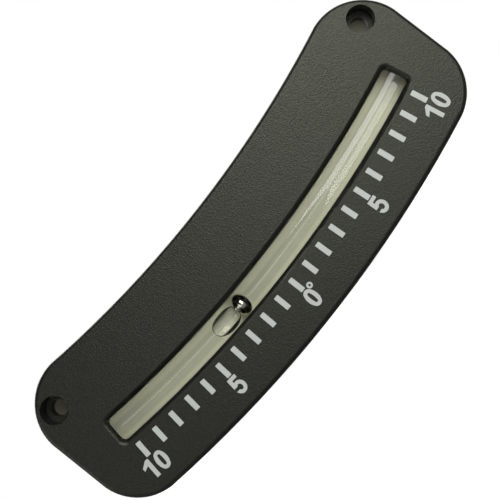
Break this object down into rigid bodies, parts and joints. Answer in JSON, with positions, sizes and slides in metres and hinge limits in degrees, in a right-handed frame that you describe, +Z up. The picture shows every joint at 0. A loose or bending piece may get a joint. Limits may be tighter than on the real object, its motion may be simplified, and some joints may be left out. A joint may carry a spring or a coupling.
{
  "type": "ball inclinometer",
  "caption": "Curved ball inclinometer: a steel ball rolls in a liquid-filled tube behind a window in a black case with a printed degree scale.",
  "frame": {"origin": "halfway between the two mounting holes, on the flat back", "axes": "+Z up in use, +X to the viewer's right along the scale, -Y out of the face, +Y into the panel that it is screwed to"},
  "size_m": [0.133, 0.0111, 0.0461],
  "materials": {
    "black_abs": "fine spark-eroded grain, satin",
    "clear_acrylic": "clear and polished",
    "plug_nylon": "moulded",
    "seal_rubber": "matte",
    "pad_foam": "closed-cell foam",
    "cream_film": "matte",
    "clear_liquid": "clear liquid",
    "ball_steel": "mirror polished",
    "air": "bubble in liquid",
    "screw_steel": "zinc plated",
    "scale_ink": "pad-printed ink"
  },
  "bodies": {
    "case": {"housing": "black_abs", "back_cover": "black_abs", "vial_tube": "clear_acrylic", "left_end_plug": "plug_nylon", "right_end_plug": "plug_nylon", "left_plug_seal": "seal_rubber", "right_plug_seal": "seal_rubber", "left_tube_pad": "pad_foam", "right_tube_pad": "pad_foam", "backing_strip": "cream_film", "damping_fluid": "clear_liquid", "cover_screws": "screw_steel", "tick_marks": "scale_ink", "numeral_left_ten": "scale_ink", "numeral_left_five": "scale_ink", "numeral_zero": "scale_ink", "degree_ring": "scale_ink", "numeral_right_five": "scale_ink", "numeral_right_ten": "scale_ink"},
    "ball": {"steel_ball": "ball_steel"},
    "bubble": {"air_bubble": "air"}
  },
  "joints": [
    {"name": "ball_roll", "type": "hinge", "parent": "case", "child": "ball", "pos_m": [0, -0.006, 0.28034], "axis": [0, -1, 0], "range_deg": [-8.24, 12.76], "deforming": ["damping_fluid", "air_bubble"]},
    {"name": "bubble_drift", "type": "hinge", "parent": "case", "child": "bubble", "pos_m": [0, -0.006, 0.28034], "axis": [0, -1, 0], "range_deg": [-5.95, 12.72], "deforming": ["damping_fluid", "air_bubble"]}
  ]
}
